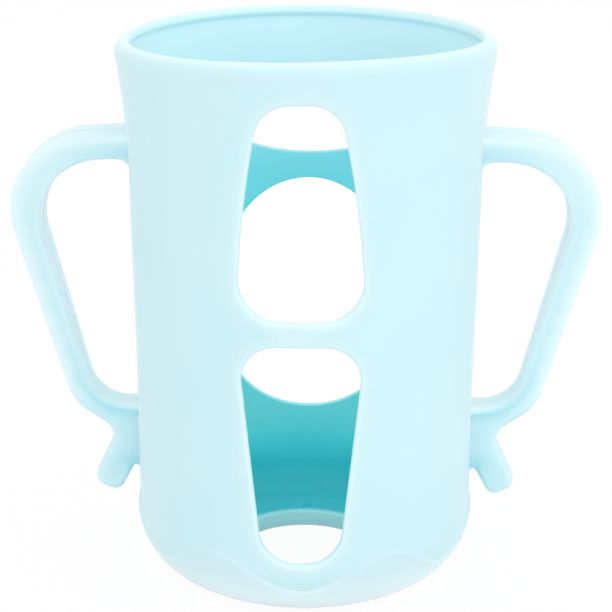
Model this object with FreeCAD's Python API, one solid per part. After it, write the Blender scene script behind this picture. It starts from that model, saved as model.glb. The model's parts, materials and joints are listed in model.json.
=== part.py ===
import FreeCAD, Part
import math
import os

# Soft sleeve for a feeding bottle, with a loop handle and a free tab on each side.
# Millimetres, +Z up, origin at the centre of the base, handles along X, front windows towards -Y.

V = FreeCAD.Vector
UP = V(0, 0, 1)

# Sleeve
sleeve_height = 117.3
bore_radius = 33.8
wall_at_base = 2.3
wall_at_waist = 2.3
wall_at_flare = 2.95
wall_at_mouth = 2.4
waist_height = 47.0
flare_length = 29.3
mouth_flare = 2.15

# Rim
rim_height = 4.3
rim_outer_swell = 0.25
rim_overhang = 0.4
rim_overhang_height = 1.9
rim_outer_round = 2.4
rim_inner_round = 0.6

# Base
floor_thickness = 3.6
floor_hole_radius = 15.2
floor_corner_radius = 10.2
base_corner_radius = 13.8
boot_thickness = 1.2
boot_proud = 0.4
boot_edge_height = 12.2
boot_wave_height = 3.8
boot_wave_count = 6
cup_to_wave = 0.6

# Pips on the floor
pip_count = 8
pip_radius = 1.0
pip_to_hole = 3.1

# Front windows
window_to_rim = 8.1
window_to_floor = 10.7
bridge_middle = 63.4
bridge_height = 5.0
upper_window_top_width = 16.4
upper_window_bottom_width = 26.6
upper_window_top_round = 6.6
upper_window_bottom_round = 8.0
lower_window_top_width = 25.4
lower_window_bottom_width = 15.4
lower_window_top_round = 7.5
lower_window_bottom_round = 7.4

# Back windows
back_oval_to_rim = 16.9
back_oval_width = 36.0
back_oval_height = 16.3
back_band_height = 5.75
back_slot_width = 37.0
back_slot_bottom = 22.6

# Handles, outlined in the XZ plane
handle_to_rim = 20.9
handle_arm_drop = 1.6
handle_arm_thickness = 4.85
handle_grip_thickness = 5.3
handle_heel_thickness = 4.6
handle_arm_depth = 13.8
handle_heel_depth = 8.2
handle_edge_round = 1.2
shoulder_reach = 29.9
shoulder_outer_round = 16.3
shoulder_inner_round = 13.6
heel_reach = 13.9
heel_height = 37.0
heel_outer_round = 10.9
heel_inner_round = 9.0
lower_arm_top = 36.6
notch_reach = 4.5
notch_height = 30.6
notch_round = 3.8

# Tabs, which bend about an axis along Y
tab_width = 6.4
tab_length = 8.4
tab_lean = 26.3
tab_tip_round = 2.35
tab_wall_gap = 0.5
tab_clearance = 0.3
tab_root_height = 24.6
socket_lip = 2.2

# Worked out from the sizes above
wall_radius = bore_radius + wall_at_base
waist_radius = bore_radius + wall_at_waist
flare_start = sleeve_height - flare_length
flare_radius = bore_radius + wall_at_flare
rim_bottom = sleeve_height - rim_height
mouth_radius = flare_radius + mouth_flare
mouth_bore = mouth_radius - wall_at_mouth
boot_radius = wall_radius + boot_proud
boot_inner_radius = boot_radius - boot_thickness
boot_inner_corner = base_corner_radius - boot_thickness
base_cup_height = boot_edge_height - boot_wave_height - cup_to_wave
handle_arm_top = sleeve_height - handle_to_rim
outside = 2 * (boot_radius + shoulder_reach)

# The most of the lower arm's thickness that the round along one edge takes up
edge_round_in_arm = 0.4


def line(a, b):
    return Part.LineSegment(a, b).toShape()


def arc(a, b, c):
    return Part.Arc(a, b, c).toShape()


def rz(r, z):
    """A point of a section that is turned about Z."""
    return V(r, 0, z)


def turned(edges):
    """The solid that a closed section in the XZ plane makes when turned about Z."""
    return Part.Face(Part.Wire(edges)).revolve(V(0, 0, 0), UP, 360)


def flare(start_radius, start_z, end_radius, end_z):
    """An arc that leaves the vertical at its start and widens to its end."""
    rise = end_z - start_z
    spread = end_radius - start_radius
    radius = (rise ** 2 + spread ** 2) / (2 * spread)
    half_turn = math.asin(rise / radius) / 2
    middle = rz(start_radius + radius * (1 - math.cos(half_turn)), start_z + radius * math.sin(half_turn))
    return arc(rz(start_radius, start_z), middle, rz(end_radius, end_z))


def fitted_rounds(points, radii):
    """The radii of a closed outline's corners, less where two rounds don't fit on the side between them."""
    count = len(points)
    sides = [points[(i + 1) % count] - points[i] for i in range(count)]
    reaches = [radius / math.tan((-sides[i - 1]).getAngle(sides[i]) / 2) for i, radius in enumerate(radii)]
    fits = []
    for i, side in enumerate(sides):
        wanted = reaches[i] + reaches[(i + 1) % count]
        fits.append(side.Length / wanted if wanted > side.Length else 1)
    return [radius * min(fits[i - 1], fits[i]) for i, radius in enumerate(radii)]


def rounded_outline(corners):
    """A closed wire in the XZ plane through corners (x, z, radius), each rounded by its radius."""
    points = [V(x, 0, z) for x, z, _ in corners]
    stops = []
    for i, radius in enumerate(fitted_rounds(points, [radius for _, _, radius in corners])):
        corner = points[i]
        back = (points[i - 1] - corner).normalize()
        ahead = (points[(i + 1) % len(points)] - corner).normalize()
        if radius == 0:
            stops.append((corner, None, corner))
            continue
        half = back.getAngle(ahead) / 2
        reach = radius / math.tan(half)
        inward = (back + ahead).normalize()
        middle = corner + inward * (radius / math.sin(half) - radius)
        stops.append((corner + back * reach, middle, corner + ahead * reach))
    edges = []
    for i, (first, middle, last) in enumerate(stops):
        if middle is not None:
            edges.append(arc(first, middle, last))
        following = stops[(i + 1) % len(stops)][0]
        if (following - last).Length > 1e-6:
            edges.append(line(last, following))
    return Part.Wire(edges)


def prism(outline, near_y, far_y):
    """An outline of the XZ plane made solid from near_y to far_y."""
    face = Part.Face(outline)
    face.translate(V(0, near_y, 0))
    return face.extrude(V(0, far_y - near_y, 0))


def lower_corner(radius, corner, bottom):
    """The section of a rounded lower edge, from the flat bottom to the upright side."""
    slant = corner * math.sqrt(0.5)
    return arc(
        rz(radius - corner, bottom),
        rz(radius - corner + slant, bottom + corner - slant),
        rz(radius, bottom + corner),
    )


def cup_block(radius, corner, bottom, top):
    """A solid round block with a rounded lower edge."""
    return turned([
        line(rz(0, bottom), rz(radius - corner, bottom)),
        lower_corner(radius, corner, bottom),
        line(rz(radius, bottom + corner), rz(radius, top)),
        line(rz(radius, top), rz(0, top)),
        line(rz(0, top), rz(0, bottom)),
    ])


def wall_block():
    """The sleeve's outside as a filled solid, from under the boot up to the rim."""
    corner = base_corner_radius - boot_proud
    waist = rz(waist_radius, waist_height)
    return turned([
        line(rz(0, boot_proud), rz(wall_radius - corner, boot_proud)),
        lower_corner(wall_radius, corner, boot_proud),
        line(rz(wall_radius, base_corner_radius), waist),
        line(waist, rz(flare_radius, flare_start)),
        flare(flare_radius, flare_start, mouth_radius, rim_bottom),
        line(rz(mouth_radius, rim_bottom), rz(0, rim_bottom)),
        line(rz(0, rim_bottom), rz(0, boot_proud)),
    ])


def below_cup_top():
    """A slab that reaches from under the base up to where the wall stands on the cup."""
    return Part.makeCylinder(outside, outside, V(0, 0, base_cup_height - outside))


def cavity():
    """The space for the bottle, from the floor up to the rim."""
    pocket = cup_block(bore_radius, floor_corner_radius, floor_thickness, flare_start)
    funnel = turned([
        line(rz(0, flare_start), rz(bore_radius, flare_start)),
        flare(bore_radius, flare_start, mouth_bore, rim_bottom),
        line(rz(mouth_bore, rim_bottom), rz(0, rim_bottom)),
        line(rz(0, rim_bottom), rz(0, flare_start)),
    ])
    return pocket.fuse(funnel)


def rim_bead():
    """The thick lip: well rounded outside, with a small overhang inside."""
    outer = mouth_radius + rim_outer_swell
    inner = mouth_bore - rim_overhang
    outer_z = sleeve_height - rim_outer_round
    inner_z = sleeve_height - rim_inner_round
    overhang_z = sleeve_height - rim_overhang_height
    outer_slant = rim_outer_round * math.sqrt(0.5)
    inner_slant = rim_inner_round * math.sqrt(0.5)
    return turned([
        line(rz(mouth_bore, rim_bottom), rz(mouth_radius, rim_bottom)),
        line(rz(mouth_radius, rim_bottom), rz(outer, outer_z)),
        arc(
            rz(outer, outer_z),
            rz(outer - rim_outer_round + outer_slant, outer_z + outer_slant),
            rz(outer - rim_outer_round, sleeve_height),
        ),
        line(rz(outer - rim_outer_round, sleeve_height), rz(inner + rim_inner_round, sleeve_height)),
        arc(
            rz(inner + rim_inner_round, sleeve_height),
            rz(inner + rim_inner_round - inner_slant, inner_z + inner_slant),
            rz(inner, inner_z),
        ),
        line(rz(inner, inner_z), rz(inner, overhang_z)),
        line(rz(inner, overhang_z), rz(mouth_bore, rim_bottom)),
    ])


def wave_edge(radius, lobe):
    """One lobe of the boot's upper edge at a radius: low in the middle of the front, high at the handles."""
    steps = 8
    points = []
    for i in range(steps + 1):
        turn = 2 * math.pi * (lobe + i / steps) / boot_wave_count
        height = boot_edge_height - boot_wave_height * math.cos(boot_wave_count * turn)
        points.append(V(radius * math.sin(turn), -radius * math.cos(turn), height))
    curve = Part.BSplineCurve()
    curve.interpolate(Points=points)
    return curve.toShape()


def above_lobe(lobe):
    """Everything over one lobe of the boot's wavy upper edge."""
    inside = boot_radius - base_corner_radius
    sheet = Part.makeRuledSurface(wave_edge(inside, lobe), wave_edge(outside, lobe))
    return sheet.extrude(V(0, 0, sleeve_height))


def floor_hole():
    return Part.makeCylinder(floor_hole_radius, 2 * floor_thickness, V(0, 0, -floor_thickness / 2))


def base_boot():
    """The outer skin of the base, proud of the wall above it."""
    top = boot_edge_height + 2 * boot_wave_height
    skin = cup_block(boot_radius, base_corner_radius, 0, top)
    skin = skin.cut(cup_block(boot_inner_radius, boot_inner_corner, boot_thickness, 2 * top))
    for lobe in range(boot_wave_count):
        skin = skin.cut(above_lobe(lobe))
    return skin.cut(floor_hole())


def base_cup(space):
    """The floor and rounded lower corner that the boot covers."""
    block = cup_block(boot_inner_radius, boot_inner_corner, boot_thickness, sleeve_height)
    return block.common(below_cup_top()).cut(space).cut(floor_hole())


def front_windows():
    """The two tapered windows that face the front, with a bridge between them."""
    upper_bottom = bridge_middle + bridge_height / 2
    upper_top = sleeve_height - window_to_rim
    lower_top = bridge_middle - bridge_height / 2
    lower_bottom = floor_thickness + window_to_floor
    upper = rounded_outline([
        (-upper_window_bottom_width / 2, upper_bottom, upper_window_bottom_round),
        (upper_window_bottom_width / 2, upper_bottom, upper_window_bottom_round),
        (upper_window_top_width / 2, upper_top, upper_window_top_round),
        (-upper_window_top_width / 2, upper_top, upper_window_top_round),
    ])
    lower = rounded_outline([
        (-lower_window_bottom_width / 2, lower_bottom, lower_window_bottom_round),
        (lower_window_bottom_width / 2, lower_bottom, lower_window_bottom_round),
        (lower_window_top_width / 2, lower_top, lower_window_top_round),
        (-lower_window_top_width / 2, lower_top, lower_window_top_round),
    ])
    return [prism(outline, -outside, 0) for outline in (upper, lower)]


def back_windows():
    """The oval and the long round-ended slot that face the back, with a band between them."""
    oval_top = sleeve_height - back_oval_to_rim
    oval_bottom = oval_top - back_oval_height
    oval = Part.Ellipse(
        V(back_oval_width / 2, 0, (oval_top + oval_bottom) / 2),
        V(0, 0, oval_top),
        V(0, 0, (oval_top + oval_bottom) / 2),
    )
    slot_top = oval_bottom - back_band_height
    half = back_slot_width / 2
    slot = rounded_outline([
        (-half, back_slot_bottom, half),
        (half, back_slot_bottom, half),
        (half, slot_top, half),
        (-half, slot_top, half),
    ])
    return [prism(Part.Wire([oval.toShape()]), 0, outside), prism(slot, 0, outside)]


def sleeve_wall(boot, space):
    wall = wall_block().cut(space).cut(below_cup_top())
    for window in front_windows() + back_windows():
        wall = wall.cut(window)
    return wall.cut(boot)


def floor_pips():
    """A ring of small domes round the floor hole, which hold the bottle off the floor."""
    ring = floor_hole_radius + pip_to_hole
    domes = []
    for i in range(pip_count):
        turn = 2 * math.pi * i / pip_count
        place = V(ring * math.sin(turn), ring * math.cos(turn), floor_thickness)
        domes.append(Part.makeSphere(pip_radius, place, UP, 0, 90, 360))
    return Part.makeCompound(domes)


def meet(point_a, along_a, point_b, along_b):
    """Where two lines of the XZ plane cross."""
    cross = along_a.x * along_b.z - along_a.z * along_b.x
    gap = point_b - point_a
    return point_a + along_a * ((gap.x * along_b.z - gap.z * along_b.x) / cross)


def tab_frame():
    """The bending axis of the right tab, the way the tab points and its outward side."""
    lean = math.radians(tab_lean)
    root = V(wall_radius + tab_wall_gap + tab_width / 2, 0, tab_root_height)
    return root, V(math.sin(lean), 0, -math.cos(lean)), V(math.cos(lean), 0, math.sin(lean))


def handle_outline():
    """The right loop with its tab, as one outline whose two ends lie inside the wall."""
    buried = bore_radius / 2
    start = V(wall_radius, 0, handle_arm_top)
    shoulder = V(wall_radius + shoulder_reach, 0, handle_arm_top - handle_arm_drop)
    heel = V(wall_radius + heel_reach, 0, heel_height)
    arm_way = (shoulder - start).normalize()
    grip_way = (heel - shoulder).normalize()
    under_arm = start + V(arm_way.z, 0, -arm_way.x) * handle_arm_thickness
    inward = V(grip_way.z, 0, -grip_way.x)
    in_grip = shoulder + inward * handle_grip_thickness
    inner_way = (heel + inward * handle_heel_thickness - in_grip).normalize()
    lower_arm = V(wall_radius, 0, lower_arm_top)
    inner_shoulder = meet(under_arm, arm_way, in_grip, inner_way)
    inner_heel = meet(in_grip, inner_way, lower_arm, V(1, 0, 0))
    arm_inside = meet(start, arm_way, V(buried, 0, 0), UP)
    under_inside = meet(under_arm, arm_way, V(buried, 0, 0), UP)
    root, way, out = tab_frame()
    side = out * (tab_width / 2)
    tip = root + way * tab_length
    tab_start = root - side
    return rounded_outline([
        (buried, arm_inside.z, 0),
        (shoulder.x, shoulder.z, shoulder_outer_round),
        (heel.x, heel.z, heel_outer_round),
        (wall_radius + notch_reach, notch_height, notch_round),
        ((tip + side).x, (tip + side).z, tab_tip_round),
        ((tip - side).x, (tip - side).z, tab_tip_round),
        (tab_start.x, tab_start.z, 0),
        (buried, tab_start.z, 0),
        (buried, lower_arm_top, 0),
        (inner_heel.x, inner_heel.z, heel_inner_round),
        (inner_shoulder.x, inner_shoulder.z, shoulder_inner_round),
        (buried, under_inside.z, 0),
    ])


def handle_half_depth(z):
    """Half of a handle's depth along Y at a height: it narrows from the arm down to the tab."""
    share = (z - lower_arm_top) / (handle_arm_top - lower_arm_top)
    return (handle_heel_depth + (handle_arm_depth - handle_heel_depth) * share) / 2


def handle_wedge():
    """A block along X that narrows downwards, as deep as the handle at each height."""
    low, high = handle_half_depth(0), handle_half_depth(sleeve_height)
    corners = [V(0, -low, 0), V(0, low, 0), V(0, high, sleeve_height), V(0, -high, sleeve_height)]
    return Part.Face(Part.makePolygon(corners + corners[:1])).extrude(V(outside, 0, 0))


def is_long_edge(edge):
    """Whether an edge runs along the front or the back of a handle, outside the wall."""
    middle = edge.valueAt((edge.FirstParameter + edge.LastParameter) / 2)
    return abs(abs(middle.y) - handle_half_depth(middle.z)) < 1e-6 and edge.BoundBox.XMax > wall_radius


def handle_and_tab(wall_solid):
    """The right handle and tab, rounded along their long edges and split at the tab's root."""
    whole = prism(handle_outline(), -handle_arm_depth, handle_arm_depth).common(handle_wedge())
    long_edges = [edge for edge in whole.Edges if is_long_edge(edge)]
    edge_round = min(handle_edge_round, edge_round_in_arm * (lower_arm_top - notch_height))
    whole = whole.makeFillet(edge_round, long_edges).cut(wall_solid)
    root, way, _ = tab_frame()
    along = V(0, 1, 0)
    knuckle_start = root - along * handle_arm_depth
    knuckle = Part.makeCylinder(tab_width / 2, 2 * handle_arm_depth, knuckle_start, along)
    socket = Part.makeCylinder(tab_width / 2 + tab_clearance, 2 * handle_arm_depth, knuckle_start, along)
    below_root = half_space(root, way)
    below_socket = half_space(root - way * socket_lip, way)
    tab = whole.common(knuckle.fuse(below_root))
    handle = whole.cut(socket).cut(below_socket)
    return handle, tab


def half_space(point, way):
    """A block on the far side of a plane that faces along way, reaching past the tab."""
    size = 4 * tab_length
    corner = point - V(way.z, 0, -way.x) * (size / 2) - V(0, size / 2, 0)
    block = Part.makeBox(size, size, size, V(0, 0, 0), UP)
    block.Placement = FreeCAD.Placement(corner, FreeCAD.Rotation(V(way.z, 0, -way.x), V(0, 1, 0), way))
    return block


def mirrored(shape):
    return shape.mirror(V(0, 0, 0), V(1, 0, 0))


def main():
    os.makedirs("parts", exist_ok=True)
    space = cavity()
    boot = base_boot()
    right_handle, right_tab = handle_and_tab(wall_block())
    pieces = {
        "rim_bead": rim_bead(),
        "sleeve_wall": sleeve_wall(boot, space),
        "base_cup": base_cup(space),
        "base_boot": boot,
        "floor_pips": floor_pips(),
        "right_handle": right_handle,
        "left_handle": mirrored(right_handle),
        "right_tab": right_tab,
        "left_tab": mirrored(right_tab),
    }
    for name, shape in pieces.items():
        shape.exportStep(f"parts/{name}.step")
        box = shape.optimalBoundingBox()
        print(
            f"{name}: {len(shape.Solids)} solids, {shape.Volume:.0f} mm3, valid {shape.isValid()},"
            f" x {box.XMin:.2f} to {box.XMax:.2f}, y {box.YMin:.2f} to {box.YMax:.2f},"
            f" z {box.ZMin:.2f} to {box.ZMax:.2f}"
        )


main()
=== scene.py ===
import json
import math
from collections import namedtuple

import bpy
import numpy as np
from mathutils import Matrix, Vector
from mathutils.geometry import delaunay_2d_cdt
from mathutils.kdtree import KDTree


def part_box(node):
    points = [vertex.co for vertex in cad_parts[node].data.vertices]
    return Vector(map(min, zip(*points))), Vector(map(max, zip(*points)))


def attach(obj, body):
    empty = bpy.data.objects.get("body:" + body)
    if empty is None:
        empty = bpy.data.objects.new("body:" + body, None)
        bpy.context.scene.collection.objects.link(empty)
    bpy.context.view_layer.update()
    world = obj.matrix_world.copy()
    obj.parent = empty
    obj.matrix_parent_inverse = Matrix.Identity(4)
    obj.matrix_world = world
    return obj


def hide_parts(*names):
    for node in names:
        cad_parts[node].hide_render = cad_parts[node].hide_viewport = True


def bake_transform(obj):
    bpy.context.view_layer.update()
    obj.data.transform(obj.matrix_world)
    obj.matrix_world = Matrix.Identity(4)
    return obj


# Soft sleeve for a feeding bottle: its skins, materials, light and camera.
# Sizes are in millimetres: +Z up, front windows towards -Y, handles along X.
# A turn is an angle about Z, from the front towards +X.

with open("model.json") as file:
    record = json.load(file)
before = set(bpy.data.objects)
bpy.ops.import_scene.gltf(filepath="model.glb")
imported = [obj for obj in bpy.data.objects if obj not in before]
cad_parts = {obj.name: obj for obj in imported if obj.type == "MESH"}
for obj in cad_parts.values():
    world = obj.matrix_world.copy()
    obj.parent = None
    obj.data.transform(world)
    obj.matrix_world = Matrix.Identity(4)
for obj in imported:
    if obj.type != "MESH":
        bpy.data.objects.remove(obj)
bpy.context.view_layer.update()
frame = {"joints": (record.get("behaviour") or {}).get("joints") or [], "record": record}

MM = 0.001


def node_box(name):
    """A solid's lowest and highest corners."""
    low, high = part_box(name)
    return low / MM, high / MM


# Sizes read from the solids and their record
mounts = {mount["name"]: mount for mount in frame["record"]["mounts"]}
joints = {joint["name"]: joint for joint in frame["joints"]}
rim_low, rim_high = node_box("rim_bead")
cup_low, cup_high = node_box("base_cup")
_, boot_high = node_box("base_boot")
_, pip_high = node_box("floor_pips")
sleeve_top = rim_high.z
rim_bottom = rim_low.z
rim_radius = rim_high.x
boot_radius = boot_high.x
cup_bottom = cup_low.z
cup_top = cup_high.z
bore_radius = mounts["bottle_grip"]["dims"]["r_mm"]
hole_radius = mounts["floor_hole"]["dims"]["r_mm"]
floor_top = mounts["floor_hole"]["dims"]["length_mm"]
pip_height = pip_high.z - floor_top
pip_ring_radius = pip_high.y - pip_height
tab_root = Vector(joints["right_tab_flex"]["pos_m"]) / MM

# Places in a piece's list of materials
OUTSIDE = 0
INSIDE = 1

# Wall
base_corner = 13.8
floor_corner = 10.2
boot_proud = 0.4
boot_thickness = 1.2
wall_radius = boot_radius - boot_proud
waist_widening = 0.65
waist_height = 38.0
waist_length = 50.0
flare_start = 85.0
mouth_radius = 38.9
mouth_bore = 36.5

# Rim
rim_overhang = 0.3
bead_outer_round = (2.3, 2.6)
bead_inner_round = (0.64, 0.9)
crease_height = 115.2
crease_length = 1.3
# Painted shade in the crease under the bead
crease_painted_shade = 0.05
crease_shade_width = 0.39
mouth_sag = 0.8
lip_slope = 0.9
sag_start = 70.0
lip_height = 1.4
# Painted highlight along the top of the lip
lip_paleness = 0.4

# Boot edge
wave_count = 6
wave_middle = 12.2
wave_height = 3.8
step_length = 1.1
# Painted light pales the boot from this height down to its flat bottom
pale_foot_height = 14.0

# Floor hole and pips
hole_edge_round = 0.5
parting_round = 0.14
pip_count = 8
pip_foot_round = 0.35
pip_dome_angles = (20, 88)
pip_sink = 0.02

# Windows
front_upper = dict(
    bottom=65.9, top=109.2, bottom_width=25.2, top_width=14.8, bottom_round=7.2, top_round=6.2,
    bulge=1.1, lean=-0.35,
)
front_lower = dict(
    bottom=14.3, top=60.9, bottom_width=15.4, top_width=25.4, bottom_round=7.4, top_round=7.5,
    bulge=0.0, lean=0.0,
)
back_oval = dict(middle=92.25, width=36.0, height=16.3)
back_slot = dict(bottom=22.6, top=78.35, width=37.0)
slot_end_gap = 0.01
# An edge's paleness is the strength of its painted light, and its depth the strength of its painted shade
front_edge = dict(outer_round=1.15, inner_round=0.8, paleness=1.0, depth=0.0, material=OUTSIDE)
back_edge = dict(outer_round=0.9, inner_round=0.3, paleness=0.0, depth=0.55, material=INSIDE)
# Painted light: a pale halo on both faces of the wall round each window
halo_width = 0.6
halo_paleness = 0.2

# Painted light and painted shade across a window's edge, from 0 at the outer face to 1 at the inner face
paling_places = (0, 0.35, 0.6, 1)
paling = (0.15, 0.6, 0.95, 1)
painted_shade_end = 0.9

# Handles, outlined in the XZ plane
root_depth = 0.9
arm_top = 96.75
shoulder = (66.3, 95.1, 16.2)
heel = (50.0, 37.0, 10.9)
notch = (40.57, 30.6, 3.8)
inner_heel = (45.1, 36.6, 9.0)
inner_shoulder = (59.2, 90.1, 13.6)
under_arm = 91.8
under_arm_fillet = 1.7
fillet_rise = 40.0
crotch_height = 22.6
crotch_round = 1.1
crotch_fillet = 0.35
level_tolerance = 0.01
tab_half_width = 3.2
tab_length = 8.4
tab_lean = math.radians(26.3)
tab_tip_round = 2.35
arm_depth = 13.8
heel_depth = 8.2
handle_edge_round = 1.2
root_flare = 0.9
root_flare_reach = 0.9
root_wrap_reach = 6.0
bend_start = 0.3
bend_end = 4.6

# Parting ridge, in rows from beside it to its middle: shares of its half width and of its height
ridge_height = 0.1
ridge_half_width = 0.27
ridge_rows = ((2.0, 0), (1.3, 0), (1.0, 0), (0.8, 1), (0.0, 1))
# The row that carries a painted shade line beside the ridge, and its strength
ridge_shade_row = 2
ridge_painted_shade = 0.15

# Handle tints, painted light on what faces up, into the loop and away from the wall, and painted shade on
# the faces and where the arms and the tab meet the wall: a pair is where a ramp starts and how long it is
up_paleness = 0.5
loop_up_paleness = 0.85
away_paleness = 0.45
up_lean = (0.2, 0.6)
in_lean = (0.3, 0.6)
away_lean = (0.1, 0.6)
loop_face_painted_shade = 0.12
heel_face_painted_shade = 0.3
heel_face_fall = (55.0, -15.0)
arm_face_fall = (86.0, -8.0)
lower_arm_painted_shade = 0.27
lower_arm_fall = (42.0, -7.0)
tab_rise = (10.0, 14.0)
crotch_shade = dict(depth=0.55, x=37.0, z=23.0, width=2.4, height=2.4)
arm_root_shade = dict(depth=0.42, x=37.0, z=93.0, width=9.0, height=2.2)
# How much of the painted shade the loop's narrow inside clears, and how far painted light and shade reach
# across a face
loop_clearing = 0.9
face_fade = 1.3

# Mesh spacing
columns = 192
pip_sides = 24
skin_spacing = 1.6
edge_spacing = 0.8
handle_spacing = 0.45
clear_share = 0.6
least_bend_steps = 4
merge_distance = 1e-6

# Colours, in screen values from 0 to 255. The inside's are stops by height: the silicone's teal, with
# painted shade that darkens and deepens it towards the floor and painted light that pales it towards the
# mouth.
sleeve_colour = (202, 234, 240)
base_colour = (204, 232, 238)
handle_colour = (208, 237, 243)
# Colours of the painted light and the painted shade that tint the silicone point by point
painted_light_colour = (236, 251, 254)
painted_shade_colour = (150, 218, 231)
inside_painted_light_colour = (232, 255, 255)
inside_painted_shade_colour = (120, 222, 235)
inside_colours_with_painted_shade = [
    (0, (90, 212, 221)),
    (5, (78, 207, 217)),
    (9, (66, 212, 222)),
    (13, (114, 243, 250)),
    (17, (152, 254, 255)),
    (22, (172, 255, 255)),
    (60, (145, 252, 255)),
    (80, (156, 242, 249)),
    (92, (184, 244, 250)),
    (104, (214, 244, 250)),
    (117, (215, 244, 251)),
]

# Silicone
cloud_scale = 38
cloud_detail = 2
cloud_band = (0.35, 0.65)
cloud_strength = 0.6
cloud_tone = (0.95, 0.98, 0.985, 1)
gloss_scale = 160
gloss_detail = 3
gloss_band = (0.3, 0.7)
roughness = (0.46, 0.58)
grain_scale = 2600
grain_detail = 4
grain_strength = 0.06
grain_height = 0.15
specular_level = 0.4
sheen = 0.6
sheen_roughness = 0.35

# Floor and light, with the lamps' power in watts
floor_half_width = 3000.0
floor_tone = (0.9, 0.9, 0.9, 1)
floor_glow = 0.94
sky_strength = 0.92
softboxes = {
    "key": dict(place=(100, -1100, 400), aim=(0, 0, 50), width=900, height=600, power=1.5),
    "top": dict(place=(0, 250, 1100), aim=(0, 0, 60), width=900, height=900, power=1.0),
    "right": dict(place=(1000, -400, 850), aim=(0, 0, 80), width=600, height=600, power=2.2),
    "left": dict(place=(-1100, -300, 500), aim=(0, 0, 60), width=900, height=900, power=0.9),
}

# Camera
image_pixels = 612
focal_pixels = 1814.2
axis_pixel = 305.2
sensor_width = 36.0
camera_distance = 370.0
camera_height = 176.5
camera_pitch = math.radians(17.72)
camera_roll = math.radians(0.18)
camera_yaw = math.radians(1.36)
nearest_seen = 10.0
furthest_seen = 20000.0


# A stretch of a turned section: its points, its material, and how much painted light and painted shade it
# carries.
# Each look is one number, or one for each row or point.
Stretch = namedtuple("Stretch", "points material thin deep", defaults=(OUTSIDE, 0.0, 0.0))

# A row of points round a handle, on its front (side -1) or its back (side 1): how far it is set in
# from the outline, its offset from the face (from_face 1) or the middle (from_face 0), and its painted
# shade.
Level = namedtuple("Level", "side inset from_face offset shade")


def smooth(t):
    """A rise from 0 to 1 that starts and ends softly."""
    t = np.clip(t, 0, 1)
    return t * t * (3 - 2 * t)


def ramp(value, start, length):
    """Rises softly from 0 at the start to 1 a length further on. A negative length runs downwards."""
    return smooth((value - start) / length)


def unit(vectors):
    """Vectors brought to a length of 1."""
    return vectors / np.maximum(np.linalg.norm(vectors, axis=-1, keepdims=True), 1e-12)


def foot_radius(z, radius, corner, bottom):
    """The radius at height z of an upright wall whose lower edge is rounded."""
    drop = np.clip(bottom + corner - z, 0, corner)
    return radius - corner + np.sqrt(corner ** 2 - drop ** 2)


def mouth_share(z):
    """How far the flare towards the mouth has gone at height z, from 0 to 1."""
    return (np.clip(z - flare_start, 0, None) / (rim_bottom - flare_start)) ** 2


def outer_radius(z):
    """The wall's outer radius at height z."""
    foot = foot_radius(z, wall_radius, base_corner - boot_proud, boot_proud)
    widening = waist_widening * ramp(z, waist_height, waist_length)
    return foot + widening + (mouth_radius - wall_radius - waist_widening) * mouth_share(z)


def inner_radius(z):
    """The wall's inner radius at height z."""
    foot = foot_radius(z, bore_radius, floor_corner, floor_top)
    return foot + (mouth_bore - bore_radius) * mouth_share(z)


def ring_turns():
    """The turn of each column, from the left handle round the front."""
    return -math.pi / 2 + 2 * math.pi * np.arange(columns) / columns


def turn_of(points):
    """The turn of points, from -90 degrees at the left handle, round the front, to 270."""
    turn = np.arctan2(points[..., 0], -points[..., 1])
    return np.where(turn < -math.pi / 2, turn + 2 * math.pi, turn)


def around(radius, turn, z):
    """Points at a radius, a turn and a height."""
    return np.stack(np.broadcast_arrays(radius * np.sin(turn), -radius * np.cos(turn), z), axis=-1)


def wall_normals(radius_at, turn, z, facing):
    """Normals of a turned wall: facing is 1 on its outside and -1 on its inside."""
    step = 0.01
    slope = (radius_at(z + step) - radius_at(z - step)) / (2 * step)
    return unit(facing * around(np.ones_like(z), turn, 0) - facing * slope[..., None] * np.array([0, 0, 1]))


def grid_normals(points):
    """Normals of rows of points whose columns close into a ring, each row one step along the surface."""
    across = np.roll(points, -1, axis=1) - np.roll(points, 1, axis=1)
    along = np.gradient(points, axis=0)
    return unit(np.cross(across, along))


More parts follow.
